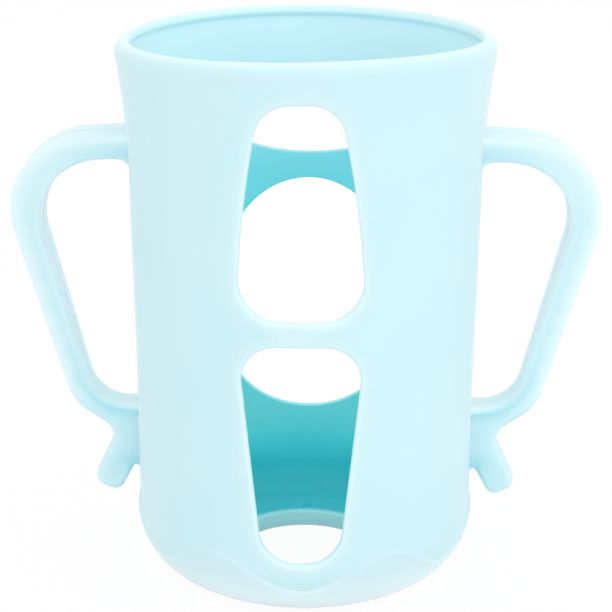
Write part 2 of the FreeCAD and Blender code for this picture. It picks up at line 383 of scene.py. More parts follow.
class Skin:
    """The points and faces of one piece, with a normal at each corner of each face."""

    def __init__(self):
        self.points = np.zeros((0, 3))
        # Each point's share of painted light and of painted shade
        self.tints = {"thin": np.zeros(0), "deep": np.zeros(0)}
        self.faces = []

    def add(self, points, thin=0.0, deep=0.0):
        """Takes in an array of points and gives back their numbers in the same layout."""
        layout = points.shape[:-1]
        first = len(self.points)
        self.points = np.concatenate([self.points, points.reshape(-1, 3)])
        for name, value in (("thin", thin), ("deep", deep)):
            self.tints[name] = np.concatenate([self.tints[name], np.broadcast_to(value, layout).ravel()])
        return np.arange(first, len(self.points)).reshape(layout)

    def cover(self, corners, normals, material=0, together=False):
        """Adds faces with the same count of corners, turned to the side of their normals.

        Each face is turned by itself, or all of them together the way that most need.
        """
        a, b, c = (self.points[corners[:, i]] for i in (0, 1, 2))
        last = self.points[corners[:, -1]]
        facing = np.cross(c - a, last - b) if corners.shape[1] == 4 else np.cross(b - a, c - a)
        wrong = np.einsum("ij,ij->i", facing, normals.sum(axis=1)) < 0
        if together:
            wrong[:] = wrong.mean() > 0.5
        corners[wrong] = corners[wrong][:, ::-1]
        normals[wrong] = normals[wrong][:, ::-1]
        self.faces.append((corners, normals, material))

    def grid(self, numbers, normals, material=0):
        """Quads over rows of points whose columns close into a ring."""
        def quads(values):
            ahead = np.roll(values, -1, axis=1)
            return np.stack([values[:-1], ahead[:-1], ahead[1:], values[1:]], axis=2)
        self.cover(quads(numbers).reshape(-1, 4), quads(normals).reshape(-1, 4, 3), material, together=True)

    def mirror(self):
        """Swaps left and right."""
        across = np.array([-1, 1, 1])
        self.points = self.points * across
        self.faces = [(c[:, ::-1], n[:, ::-1] * across, material) for c, n, material in self.faces]

    def piece(self, name, slot, materials):
        """Makes the object, with its normals, its painted light and shade, and its materials."""
        corner_count = [c.shape[1] for c, _, _ in self.faces for _ in range(len(c))]
        corners = np.concatenate([c.ravel() for c, _, _ in self.faces])
        normals = np.concatenate([n.reshape(-1, 3) for _, n, _ in self.faces])
        kinds = [material for c, _, material in self.faces for _ in range(len(c))]
        used, corners = np.unique(corners, return_inverse=True)
        faces = np.split(corners, np.cumsum(corner_count)[:-1])
        mesh = bpy.data.meshes.new(name)
        mesh.from_pydata((self.points[used] * MM).tolist(), [], [face.tolist() for face in faces])
        mesh.polygons.foreach_set("material_index", kinds)
        mesh.shade_smooth()
        mesh.normals_split_custom_set(normals.tolist())
        for tint, values in self.tints.items():
            mesh.attributes.new(tint, "FLOAT", "POINT").data.foreach_set("value", values[used])
        obj = bpy.data.objects.new(name, mesh)
        bpy.context.scene.collection.objects.link(obj)
        for material in materials:
            mesh.materials.append(material)
        return obj


def arc(centre, radius, start, end, steps):
    """Points (r, z) of an arc between two angles in degrees, from +r towards +z.

    The radius is one number, or a width and a height.
    """
    angles = np.radians(np.linspace(start, end, steps + 1))
    return np.array(centre) + np.array(radius) * np.stack([np.cos(angles), np.sin(angles)], axis=-1)


def run(start, end, steps=1):
    """Points of a straight stretch."""
    return np.linspace(start, end, steps + 1)


def all_round(section):
    """A section (r, z) repeated in every column."""
    return np.repeat(section[:, None], columns, axis=1)


def lathe(skin, stretches):
    """Turns a closed section about Z. Each stretch is smooth, and starts where the one before it ended."""
    turns = ring_turns()
    rows = []
    numbers = []
    for stretch in stretches:
        section = stretch.points if stretch.points.ndim == 3 else all_round(stretch.points)
        points = around(section[..., 0], turns, section[..., 1])
        looks = [
            look[:-1].reshape(len(look) - 1, -1) if np.ndim(look) else look
            for look in (stretch.thin, stretch.deep)
        ]
        rows.append(points)
        numbers.append(skin.add(points[:-1], *looks))
    for i, stretch in enumerate(stretches):
        following = numbers[(i + 1) % len(stretches)][:1]
        skin.grid(np.concatenate([numbers[i], following]), grid_normals(rows[i]), stretch.material)


def turned(vector, angle):
    """A flat vector turned to the left by an angle."""
    c, s = math.cos(angle), math.sin(angle)
    return np.array([vector[0] * c - vector[1] * s, vector[0] * s + vector[1] * c])


def rounded_path(corners, spacing, closed=False):
    """Points along straight runs through rounded corners (x, z, radius), and the way ahead at each."""
    spots = [np.array(corner[:2], float) for corner in corners]
    count = len(corners)
    points, ways = [], []

    def straight(start, end):
        way = unit(end - start)
        steps = max(1, math.ceil(np.linalg.norm(end - start) / spacing))
        for share in np.arange(steps) / steps:
            points.append(start + (end - start) * share)
            ways.append(way)

    def bend(start, centre, sweep):
        length = abs(sweep) * np.linalg.norm(start - centre)
        steps = max(least_bend_steps, math.ceil(length / spacing))
        for angle in sweep * np.arange(steps) / steps:
            arm = turned(start - centre, angle)
            points.append(centre + arm)
            ways.append(unit(turned(arm, math.copysign(math.pi / 2, sweep))))

    ends = []
    for i, (_, _, radius) in enumerate(corners):
        if not closed and i in (0, count - 1):
            ends.append((spots[i], None, 0.0, spots[i]))
            continue
        back = unit(spots[i - 1] - spots[i])
        ahead = unit(spots[(i + 1) % count] - spots[i])
        half = math.acos(np.clip(back @ ahead, -1, 1)) / 2
        reach = radius / math.tan(half)
        centre = spots[i] + unit(back + ahead) * radius / math.sin(half)
        side = back[0] * ahead[1] - back[1] * ahead[0]
        sweep = math.copysign(math.pi - 2 * half, -side)
        ends.append((spots[i] + back * reach, centre, sweep, spots[i] + ahead * reach))
    for i, (first, centre, sweep, last) in enumerate(ends):
        if centre is not None:
            bend(first, centre, sweep)
        if closed or i < count - 1:
            straight(last, ends[(i + 1) % count][0])
    if not closed:
        points.append(spots[-1])
        ways.append(ways[-1])
    return np.array(points), np.array(ways)


def leftward(ways):
    """The left side of the way, which is the outside of an outline that runs clockwise."""
    return np.stack([-ways[:, 1], ways[:, 0]], axis=-1)


def tapered_window(bottom, top, bottom_width, top_width, bottom_round, top_round, bulge, lean):
    """A window with rounded corners: its outline, and the outside at each point.

    Its sides bulge at mid-height and its top leans, each by a little.
    """
    corners = [
        (-bottom_width / 2, bottom, bottom_round),
        (-top_width / 2, top, top_round),
        (top_width / 2, top, top_round),
        (bottom_width / 2, bottom, bottom_round),
    ]
    points, _ = rounded_path(corners, edge_spacing, closed=True)
    level = (points[:, 1] - bottom) / (top - bottom)
    half_width = (bottom_width + (top_width - bottom_width) * level) / 2
    points[:, 0] *= 1 + bulge * 4 * level * (1 - level) / half_width
    points[:, 0] += lean * level
    ways = unit(np.roll(points, -1, axis=0) - np.roll(points, 1, axis=0))
    return points, leftward(ways)


def slot_window(bottom, top, width):
    """A window with round ends."""
    end = width / 2 - slot_end_gap
    return tapered_window(bottom, top, width, width, end, end, bulge=0.0, lean=0.0)


def oval_window(middle, width, height):
    """A window in the form of an ellipse."""
    steps = math.ceil(math.pi * (width + height) / 2 / edge_spacing)
    angles = -2 * math.pi * np.arange(steps) / steps
    points = np.stack([width / 2 * np.cos(angles), middle + height / 2 * np.sin(angles)], axis=-1)
    ways = unit(np.stack([width / 2 * np.sin(angles), -height / 2 * np.cos(angles)], axis=-1))
    return points, leftward(ways)


def on_wall(outline, radius_at, side):
    """Outline points set on a turned wall: side is -1 at the front and 1 at the back."""
    x, z = outline[:, 0], outline[:, 1]
    return np.stack([x, side * np.sqrt(radius_at(z) ** 2 - x ** 2), z], axis=-1)


def rounded_edge(first, corner, last, steps):
    """Rows of points that leave first, round off corner and arrive at last."""
    t = np.linspace(0, 1, steps + 1)[:, None, None]
    return (1 - t) ** 2 * first + 2 * t * (1 - t) * corner + t ** 2 * last


def window_edge(skin, outline, outward, side, outer_round, inner_round, paleness, depth, material):
    """The rounded edge of a window through the wall, and its loops on the outer and the inner face."""
    inward = np.array([0, -side, 0])
    outer = on_wall(outline, outer_radius, side)
    inner = on_wall(outline, inner_radius, side)
    outer_rows = rounded_edge(
        on_wall(outline + outward * outer_round, outer_radius, side),
        outer, outer + inward * outer_round, steps=6,
    )
    inner_rows = rounded_edge(
        inner - inward * inner_round, inner,
        on_wall(outline + outward * inner_round, inner_radius, side), steps=5,
    )
    points = np.concatenate([outer_rows, inner_rows])
    normals = grid_normals(points)
    opening = points.mean(axis=(0, 1)) - points
    opening[..., 1] = 0
    if (normals * opening).sum() < 0:
        normals = -normals
    normals[0] = wall_normals(outer_radius, turn_of(points[0]), points[0][:, 2], 1)
    normals[-1] = wall_normals(inner_radius, turn_of(points[-1]), points[-1][:, 2], -1)
    share = np.linspace(0, 1, len(points))[:, None]
    # Painted light grows across the edge towards the inner face; painted shade covers the edge and fades
    # out at the inner face
    numbers = skin.add(
        points, thin=paleness * np.interp(share, paling_places, paling),
        deep=depth * np.interp(share, (painted_shade_end, 1), (1, 0)),
    )
    skin.grid(numbers, normals, material)
    return numbers[0], numbers[-1]


def ring_links(first, count):
    """Links that close points into a ring, numbered from the first."""
    return [(first + i, first + (i + 1) % count) for i in range(count)]


def flat_tree(flat):
    """A tree that finds the nearest of flat points."""
    tree = KDTree(len(flat))
    for i, (u, v) in enumerate(flat):
        tree.insert((u, v, 0), i)
    tree.balance()
    return tree


def triangulated(flat, links):
    """Triangles over flat points, inside the outline that the links make."""
    inside_outline = 1
    spots = [Vector(point) for point in flat]
    made = delaunay_2d_cdt(spots, links, [], inside_outline, merge_distance)
    origin = np.array([found[0] for found in made[3]])
    return origin[np.array(made[2])]


def within(points, outline):
    """Which flat points lie inside a closed outline."""
    crossings = np.zeros(len(points), int)
    for (u0, v0), (u1, v1) in zip(outline, np.roll(outline, -1, axis=0)):
        spans = (v0 > points[:, 1]) != (v1 > points[:, 1])
        level = (points[:, 1] - v0) / (v1 - v0 if v1 != v0 else 1)
        crossings += spans & (points[:, 0] < u0 + (u1 - u0) * level)
    return crossings % 2 == 1


def loose_points(flat):
    """Staggered flat points in the box of some others, and clear of them."""
    tree = flat_tree(flat)
    low, high = flat.min(axis=0), flat.max(axis=0)
    loose = []
    for i, v in enumerate(np.arange(low[1], high[1], skin_spacing * math.sqrt(0.75))):
        shift = skin_spacing / 2 * (i % 2)
        for u in np.arange(low[0] + shift, high[0], skin_spacing):
            if tree.find((u, v, 0))[2] > clear_share * skin_spacing:
                loose.append((u, v))
    return np.array(loose)


def face_border(skin, radius_at, lower, upper):
    """The border of a face of the wall, cut open at the left handle: its points' numbers and turns."""
    turns = np.append(ring_turns(), 1.5 * math.pi)
    lower_z, upper_z = skin.points[lower[0], 2], skin.points[upper[0], 2]
    seam_z = np.linspace(lower_z, upper_z, round((upper_z - lower_z) / edge_spacing))[1:-1]
    seam = skin.add(around(radius_at(seam_z), turns[0], seam_z))
    border = np.concatenate([lower, lower[:1], seam, upper[:1], upper[::-1], seam[::-1]])
    seam_starts, seam_ends = np.full(len(seam), turns[0]), np.full(len(seam), turns[-1])
    return border, np.concatenate([turns, seam_ends, turns[::-1], seam_starts])


def wall_face(skin, radius_at, facing, lower, upper, windows, material):
    """Fills one face of the wall between its lower and upper rings, round its windows."""
    flat_radius = radius_at(np.array(waist_height))
    loops = [face_border(skin, radius_at, lower, upper)]
    loops += [(loop, turn_of(skin.points[loop])) for loop in windows]
    outlines = [np.stack([turns * flat_radius, skin.points[loop, 2]], axis=-1) for loop, turns in loops]
    links = []
    for outline in outlines:
        links += ring_links(len(links), len(outline))
    edges = np.concatenate(outlines)
    loose = loose_points(edges)
    window_tree = flat_tree(np.concatenate(outlines[1:]))
    gaps = np.array([window_tree.find((u, v, 0))[2] for u, v in loose])
    # Painted light round the windows
    halo = halo_paleness * np.exp(-(gaps / halo_width) ** 2)
    flat = np.concatenate([edges, loose])
    filling = skin.add(around(radius_at(loose[:, 1]), loose[:, 0] / flat_radius, loose[:, 1]), thin=halo)
    numbers = np.concatenate([loop for loop, _ in loops] + [filling])
    triangles = triangulated(flat, links)
    for outline in outlines[1:]:
        triangles = triangles[~within(flat[triangles].mean(axis=1), outline)]
    normals = wall_normals(radius_at, flat[:, 0] / flat_radius, flat[:, 1], facing)
    skin.cover(numbers[triangles], normals[triangles], material)


def wave(turn):
    """The height of the boot's upper edge: low in the middle of the front, high at the handles."""
    return wave_middle - wave_height * np.cos(wave_count * turn)


def boot_length(z):
    """How far along the boot's outside a height on the wall is, from the flat bottom."""
    corner = base_corner - boot_proud
    angle = np.arcsin(np.clip((z - base_corner) / corner, -1, 0)) + math.pi / 2
    return base_corner * angle + np.clip(z - base_corner, 0, None)


def cup_length():
    """How far along the boot's outside the top of the cup is, from the flat bottom."""
    corner = base_corner - boot_thickness
    return base_corner * (math.asin((cup_top - base_corner) / corner) + math.pi / 2)


def boot_point(length, inset):
    """A point (r, z) at a length along the boot's outside, set in by a depth."""
    angle = np.clip(length / base_corner, 0, math.pi / 2) - math.pi / 2
    radius = base_corner - inset
    r = boot_radius - base_corner + radius * np.cos(angle)
    z = base_corner + radius * np.sin(angle) + np.clip(length - base_corner * math.pi / 2, 0, None)
    return np.stack(np.broadcast_arrays(r, z), axis=-1)


def boot_rows(start, end, steps, inset_start, inset_end):
    """Rows along the boot between two lengths, while the inset changes softly."""
    share = np.linspace(0, 1, steps + 1)[:, None]
    inset = inset_start + (inset_end - inset_start) * smooth(share)
    return boot_point(start + (end - start) * share, inset)


def sagged(points):
    """The soft mouth, which sinks a little towards the handles and slopes along its front."""
    turn = turn_of(points)
    front = (1 + np.cos(turn)) / 2
    fall = mouth_sag * np.sin(turn) ** 2 - lip_slope * np.sin(turn) * front ** 2
    share = ramp(points[:, 2], sag_start, sleeve_top - sag_start)
    return points - (fall * share)[:, None] * np.array([0, 0, 1])


def rim_piece(materials):
    """The lip: a rounded bead on top, and a soft crease under its inner side."""
    inner = mouth_bore - rim_overhang
    outer_centre = (rim_radius - bead_outer_round[0], sleeve_top - bead_outer_round[1])
    inner_centre = (inner + bead_inner_round[0], sleeve_top - bead_inner_round[1])
    outside = np.concatenate([
        run((mouth_radius, rim_bottom), (rim_radius, outer_centre[1]), steps=2)[:-1],
        arc(outer_centre, bead_outer_round, 0, 90, steps=14),
    ])
    lip = np.concatenate([outside[-1:], arc(inner_centre, bead_inner_round, 90, 180, steps=7)])
    drop = run(inner_centre[1], rim_bottom, steps=16)
    flare = 2 * (mouth_bore - bore_radius) / (rim_bottom - flare_start)
    rise = drop - rim_bottom
    wall = mouth_bore + flare * rise * (1 - rise / (2 * rise[0]))
    crease = inner + (wall - inner) * ramp(drop, crease_height + crease_length / 2, -crease_length)
    throat = np.stack([crease, drop], axis=-1)
    # Painted light on the bead's inner side, fading out at the crease, and painted shade in the crease
    throat_paleness = ramp(drop, crease_height, drop[0] - crease_height)
    throat_painted_shade = crease_painted_shade * np.exp(-((drop - crease_height) / crease_shade_width) ** 2)
    skin = Skin()
    lathe(skin, [
        # A painted highlight over the top of the outer round and the lip
        Stretch(outside, thin=lip_paleness * ramp(outside[:, 1], sleeve_top - lip_height, lip_height)),
        Stretch(lip, thin=lip_paleness + (1 - lip_paleness) * np.linspace(0, 1, len(lip)) ** 2),
        Stretch(throat, INSIDE, thin=throat_paleness, deep=throat_painted_shade),
        Stretch(run((mouth_bore, rim_bottom), (mouth_radius, rim_bottom))),
    ])
    skin.points = sagged(skin.points)
    return skin.piece("rim_skin", "sleeve_silicone", materials)


def wall_piece(materials):
    """The wall with its windows, from the boot and the cup up to the rim."""
    skin = Skin()
    turns = ring_turns()
    edge = boot_length(wave(turns))
    shelf = boot_rows(edge, edge, 1, boot_proud, boot_thickness)
    under = boot_rows(edge, np.full(columns, cup_length()), 4, boot_thickness, boot_thickness)
    foot = all_round(run(under[-1, 0], (inner_radius(np.array(cup_top)), cup_top)))
    rings = [around(rows[..., 0], turns, rows[..., 1]) for rows in (shelf, under, foot)]
    numbers = [skin.add(rows[:-1]) for rows in rings] + [skin.add(rings[-1][-1:])]
    for i, rows in enumerate(rings):
        skin.grid(np.concatenate([numbers[i], numbers[i + 1][:1]]), -grid_normals(rows))
    tops = np.stack([around(r, turns, np.full(columns, rim_bottom)) for r in (mouth_radius, mouth_bore)])
    top = skin.add(tops)
    skin.grid(top, np.broadcast_to(np.array([0.0, 0, 1]), tops.shape))
    loops = [
        window_edge(skin, *tapered_window(**front_upper), -1, **front_edge),
        window_edge(skin, *tapered_window(**front_lower), -1, **front_edge),
        window_edge(skin, *oval_window(**back_oval), 1, **back_edge),
        window_edge(skin, *slot_window(**back_slot), 1, **back_edge),
    ]
    wall_face(skin, outer_radius, 1, numbers[0][0], top[0], [loop for loop, _ in loops], OUTSIDE)
    wall_face(skin, inner_radius, -1, numbers[-1][0], top[1], [loop for _, loop in loops], INSIDE)
    skin.points = sagged(skin.points)
    return skin.piece("sleeve_skin", "sleeve_silicone", materials)


def cup_piece(materials):
    """The floor with its hole, and the rounded lower corner inside."""
    flat_end = boot_radius - base_corner
    parting_edge = hole_radius + parting_round
    hole_edge = hole_radius + hole_edge_round
    corner_start = bore_radius - floor_corner
    hidden = np.concatenate([
        run((parting_edge, cup_bottom), (flat_end, cup_bottom), steps=2)[:-1],
        boot_rows(0, cup_length(), 8, boot_thickness, boot_thickness).reshape(-1, 2),
    ])
    top_angle = math.degrees(math.asin((cup_top - floor_top - floor_corner) / floor_corner))
    inside = np.concatenate([
        arc((corner_start, floor_top + floor_corner), floor_corner, top_angle, -90, steps=16)[:-1],
        run((corner_start, floor_top), (hole_edge, floor_top), steps=5),
    ])
    hole_top = floor_top - hole_edge_round
    hole_bottom = cup_bottom + parting_round
    hole = np.concatenate([
        arc((hole_edge, hole_top), hole_edge_round, 90, 180, steps=6)[:-1],
        run((hole_radius, hole_top), (hole_radius, hole_bottom), steps=2)[:-1],
        arc((parting_edge, hole_bottom), parting_round, 180, 270, steps=4),
    ])
    skin = Skin()
    lathe(skin, [
        Stretch(hidden),
        Stretch(run(hidden[-1], (inner_radius(np.array(cup_top)), cup_top))),
        Stretch(inside, INSIDE),
        # Painted light on the hole's face
        Stretch(hole, INSIDE, thin=1.0),
    ])
    return skin.piece("cup_skin", "sleeve_silicone", materials)


def boot_piece(materials):
    """The outer skin of the base, whose wavy upper edge stands a little proud of the wall."""
    edge = boot_length(wave(ring_turns()))
    flat_end = boot_radius - base_corner
    parting_edge = hole_radius + parting_round
    hole_edge = hole_radius + hole_edge_round
    bottom = np.concatenate([
        arc((hole_edge, hole_edge_round), hole_edge_round, 180, 270, steps=6)[:-1],
        run((hole_edge, 0), (flat_end, 0), steps=4),
    ])
    outside = np.concatenate([
        all_round(bottom[:-1]),
        boot_rows(np.zeros(columns), edge - step_length, 24, 0, 0)[:-1],
        boot_rows(edge - step_length, edge, 8, 0, boot_proud),
    ])
    shelf = boot_rows(edge, edge, 1, boot_proud, boot_thickness)
    under = boot_rows(edge, np.zeros(columns), 8, boot_thickness, boot_thickness)
    hole = np.concatenate([
        arc((parting_edge, boot_thickness - parting_round), parting_round, 90, 180, steps=4)[:-1],
        run((hole_radius, boot_thickness - parting_round), (hole_radius, hole_edge_round)),
    ])
    skin = Skin()
    lathe(skin, [
        # Painted light on the boot, growing towards its bottom
        Stretch(outside, thin=ramp(outside[..., 1], pale_foot_height, -pale_foot_height)),
        Stretch(shelf),
        Stretch(under),
        Stretch(run((flat_end, boot_thickness), (parting_edge, boot_thickness), steps=2)),
        # Painted light on the hole's face
        Stretch(hole, thin=1.0),
    ])
    return skin.piece("boot_skin", "base_silicone", materials)


def pip_piece(materials):
    """Small domes on the floor round the hole, each with a soft foot."""
    section = np.concatenate([
        arc((pip_height + pip_foot_round, pip_foot_round), pip_foot_round, 270, 180, steps=4)[:-1],
        arc((0, 0), pip_height, *pip_dome_angles, steps=9),
    ])
    angles = 2 * math.pi * np.arange(pip_sides) / pip_sides
    skin = Skin()
    for i in range(pip_count):
        turn = 2 * math.pi * i / pip_count
        x, y = pip_ring_radius * math.sin(turn), pip_ring_radius * math.cos(turn)
        points = np.array([x, y, floor_top - pip_sink]) + around(section[:, :1], angles, section[:, 1:])
        numbers = skin.add(points)
        skin.grid(numbers, grid_normals(points))
        for row, way in ((0, -1.0), (-1, 1.0)):
            ring = numbers[row]
            middle = skin.add(points[row].mean(axis=0)[None])
            fan = np.stack([ring, np.roll(ring, -1), np.full(pip_sides, middle[0])], axis=-1)
            skin.cover(fan, np.broadcast_to(np.array([0, 0, way]), (pip_sides, 3, 3)).copy())
    return skin.piece("pip_skin", "base_silicone", materials)


def root_outward(count):
    """The outside along a buried root, which turns from down to up."""
    return np.stack([np.zeros(count), np.linspace(-1, 1, count)], axis=-1)


def handle_outline():
    """The right loop and its tab, run clockwise in the XZ plane.

    For each point: its place, the outside there, the room for a fillet at the wall, and 1 inside the loop.
    """
    way = np.array([math.sin(tab_lean), -math.cos(tab_lean)])
    out = np.array([math.cos(tab_lean), math.sin(tab_lean)])
    root = np.array([tab_root.x, tab_root.z])
    tip = root + way * tab_length
    inner_side = root - out * tab_half_width
    crotch = inner_side + way * (inner_side[1] - crotch_height) / math.cos(tab_lean)
    buried = wall_radius - root_depth
    over, over_ways = rounded_path([
        (buried, arm_top, 0),
        shoulder,
        heel,
        notch,
        (*(tip + out * tab_half_width), tab_tip_round),
        (*(tip - out * tab_half_width), tab_tip_round),
        (*crotch, crotch_round),
        (buried, crotch_height, 0),
    ], handle_spacing)
    under, under_ways = rounded_path([
        (buried, inner_heel[1], 0),
        inner_heel,
        inner_shoulder,
        (buried, under_arm, 0),
    ], handle_spacing)
    lower_root = run(over[-1], under[0], steps=11)[1:-1]
    upper_root = run(under[-1], over[0], steps=7)[1:-1]
    stretches = [over, lower_root, under, upper_root]
    points = np.concatenate(stretches)
    outward = np.concatenate([
        leftward(over_ways), root_outward(len(lower_root)),
        leftward(under_ways), root_outward(len(upper_root)),
    ])
    in_loop = np.repeat([0.0, 0.0, 1.0, 0.0], [len(stretch) for stretch in stretches])
    fillets = in_loop * under_arm_fillet * ramp(points[:, 1], inner_heel[1], fillet_rise)
    fillets += crotch_fillet * (np.abs(points[:, 1] - crotch_height) < level_tolerance)
    return points, outward, fillets, in_loop


def handle_tints(points, outward, in_loop):
    """The painted light on the narrow side of a handle, and the painted light and painted shade on the edge
    of its faces.
    """
    height = points[:, 1]
    # Painted light on what faces up, into the loop, and away from the wall
    facing_up = np.where(in_loop > 0, loop_up_paleness, up_paleness) * ramp(outward[:, 1], *up_lean)
    facing_in = in_loop * ramp(-outward[:, 0], *in_lean)
    facing_away = (1 - in_loop) * away_paleness * ramp(outward[:, 0], *away_lean)
    paleness = np.maximum.reduce([facing_up, facing_in, facing_away])
    face_paleness = np.where(in_loop > 0, 0, paleness)
    # Painted shade on the faces inside the loop, more at the heel, fading out under the upper arm
    low_painted_shade = loop_face_painted_shade + heel_face_painted_shade * ramp(height, *heel_face_fall)
    face_painted_shade = in_loop * low_painted_shade * ramp(height, *arm_face_fall)
    return paleness, face_paleness, face_painted_shade


def shade_spot(points, depth, x, z, width, height):
    """A soft spot of painted shade on a handle."""
    return depth * np.exp(-((points[..., 0] - x) / width) ** 2 - ((points[..., 2] - z) / height) ** 2)


def handle_painted_shade(points):
    """The painted shade on the right handle: most where its arms and the tab meet the wall."""
    z = points[..., 2]
    lower_arm = lower_arm_painted_shade * ramp(z, *lower_arm_fall) * ramp(z, *tab_rise)
    spots = shade_spot(points, **crotch_shade) + shade_spot(points, **arm_root_shade)
    return np.clip(lower_arm + spots, 0, 1)


def wall_nearness(x, z):
    """1 at the wall, and less with the distance from it along X."""
    return np.exp(-np.clip(x - outer_radius(z), 0, None) / root_flare_reach)


def handle_half_depth(x, z):
    """Half of a handle's depth: least at the tab, most at the upper arm, and flared at the wall."""
    share = (z - inner_heel[1]) / (arm_top - inner_heel[1])
    return (heel_depth + (arm_depth - heel_depth) * share) / 2 + root_flare * wall_nearness(x, z)


def face_normal(side):
    """The normal of a handle's front (side -1) or back (side 1), which leans with the handle's depth."""
    slope = (arm_depth - heel_depth) / 2 / (arm_top - inner_heel[1])
    return unit(np.array([0, side, -slope]))


def handle_levels():
    """The rows of a handle, from the edge of its front over the parting ridge to the edge of its back."""
    front = [
        Level(-1, handle_edge_round * (1 - math.sin(a)), 1, handle_edge_round * (math.cos(a) - 1), 0.0)
        for a in np.linspace(0, math.pi / 2, num=8)
    ]
    for i, (width_share, height_share) in enumerate(ridge_rows):
        shade = ridge_painted_shade if i == ridge_shade_row else 0.0
        front.append(Level(-1, -ridge_height * height_share, 0, ridge_half_width * width_share, shade))
    return front + [level._replace(side=1) for level in front[-2::-1]]


def handle_rows(levels, outline, outward, fillets):
    """A handle's points, row by row, wrapped on the wall at its roots."""
    wall = outer_radius(outline[:, 1])
    near = wall_nearness(outline[:, 0], outline[:, 1])
    rows = []
    for level in levels:
        flat = outline + outward * (fillets * near - level.inset)[:, None]
        depth = level.from_face * handle_half_depth(flat[:, 0], flat[:, 1]) + level.offset
        curve = wall - np.sqrt(wall ** 2 - depth ** 2)
        x = flat[:, 0] - curve * (1 - ramp(flat[:, 0], wall, root_wrap_reach))
        rows.append(np.stack([x, level.side * depth, flat[:, 1]], axis=-1))
    return np.array(rows)


def end_face(skin, loop, points, side, edge_paleness, edge_painted_shade):
    """Fills the front or the back of a handle, whose painted light and shade fade in from its edge."""
    flat = points[:, [0, 2]]
    tree = flat_tree(flat)
    loose = np.array([
        (u, v)
        for u in np.arange(flat[:, 0].min(), flat[:, 0].max(), skin_spacing)
        for v in np.arange(flat[:, 1].min(), flat[:, 1].max(), skin_spacing)
        if tree.find((u, v, 0))[2] > clear_share * edge_spacing
    ])
    depths = side * handle_half_depth(loose[:, 0], loose[:, 1])
    filling = np.stack([loose[:, 0], depths, loose[:, 1]], axis=-1)
    found = [tree.find((u, v, 0)) for u, v in loose]
    nearest = np.array([index for _, index, _ in found])
    fade = np.exp(-np.array([gap for _, _, gap in found]) / face_fade)
    inner = skin.add(
        filling, thin=fade * edge_paleness[nearest],
        deep=handle_painted_shade(filling) + fade * edge_painted_shade[nearest],
    )
    numbers = np.concatenate([loop, inner])
    triangles = triangulated(np.concatenate([flat, loose]), ring_links(0, len(loop)))
    skin.cover(numbers[triangles], np.broadcast_to(face_normal(side), (*triangles.shape, 3)).copy())


def handle_piece(name, mirror, materials):
    """A loop handle with its tab, with rounded edges and a fine parting ridge round the middle."""
    outline, outward, fillets, in_loop = handle_outline()
    paleness, face_paleness, face_painted_shade = handle_tints(outline, outward, in_loop)
    levels = handle_levels()
    points = handle_rows(levels, outline, outward, fillets)
    share = np.array([1 - max(level.inset, 0) / handle_edge_round for level in levels])[:, None]
    # The painted shade line beside the ridge
    ridge_shade_rows = np.array([level.shade for level in levels])[:, None]
    # Painted shade at the joins, which the narrow inside of the loop mostly keeps clear of
    painted_shade_tint = handle_painted_shade(points) * (1 - loop_clearing * share * in_loop)
    skin = Skin()
    numbers = skin.add(
        points, thin=share * paleness + (1 - share) * face_paleness,
        deep=np.maximum(painted_shade_tint, ridge_shade_rows) + (1 - share) * face_painted_shade,
    )
    normals = grid_normals(points)
    faces = ((0, -1), (-1, 1))
    for row, side in faces:
        normals[row] = face_normal(side)
    skin.grid(numbers, normals)
    for row, side in faces:
        end_face(skin, numbers[row], points[row], side, face_paleness, face_painted_shade)
    if mirror < 0:
        skin.mirror()
    obj = skin.piece(name, "handle_silicone", materials)
    way = Vector((math.sin(tab_lean), 0, -math.cos(tab_lean)))
    start = (tab_root + way * bend_start) * MM
    end = (tab_root + way * bend_end) * MM
    for spot in (start, end):
        spot.x *= mirror
    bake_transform(obj)
    return obj


def srgb(red, green, blue):
    """A colour given in screen values from 0 to 255, for a shader socket."""
    shares = np.array([red, green, blue]) / 255
    linear = np.where(shares <= 0.04045, shares / 12.92, ((shares + 0.055) / 1.055) ** 2.4)
    return (*linear, 1.0)


def link_mix(tree, factor, low, high, way="MIX"):
    """A colour mix by a factor, between two sockets or plain colours."""
    mix = tree.nodes.new("ShaderNodeMix")
    mix.data_type = "RGBA"
    mix.blend_type = way
    tree.links.new(factor, mix.inputs["Factor"])
    for value, socket in ((low, mix.inputs["A"]), (high, mix.inputs["B"])):
        if isinstance(value, bpy.types.NodeSocket):
            tree.links.new(value, socket)
        else:
            socket.default_value = value
    return mix.outputs["Result"]


def noise(tree, place, scale, detail):
    """Soft noise by place."""
    node = tree.nodes.new("ShaderNodeTexNoise")
    node.inputs["Scale"].default_value = scale
    node.inputs["Detail"].default_value = detail
    tree.links.new(place, node.inputs["Vector"])
    return node.outputs["Fac"]


def map_range(tree, value, low, high, new_low, new_high):
    """A value brought from one range to another."""
    node = tree.nodes.new("ShaderNodeMapRange")
    node.inputs["From Min"].default_value = low
    node.inputs["From Max"].default_value = high
    node.inputs["To Min"].default_value = new_low
    node.inputs["To Max"].default_value = new_high
    tree.links.new(value, node.inputs["Value"])
    return node.outputs["Result"]


def height_colour(tree, place, colours):
    """A colour that changes with height, through stops (z, colour)."""
    split = tree.nodes.new("ShaderNodeSeparateXYZ")
    tree.links.new(place, split.inputs["Vector"])
    ramp_node = tree.nodes.new("ShaderNodeValToRGB")
    ramp_node.color_ramp.interpolation = "LINEAR"
    stops = ramp_node.color_ramp.elements
    while len(stops) < len(colours):
        stops.new(0.5)
    for stop, (z, colour) in zip(stops, colours):
        stop.position = z / sleeve_top
        stop.color = srgb(*colour)
    share = map_range(tree, split.outputs["Z"], 0, sleeve_top * MM, 0, 1)
    tree.links.new(share, ramp_node.inputs["Fac"])
    return ramp_node.outputs["Color"]


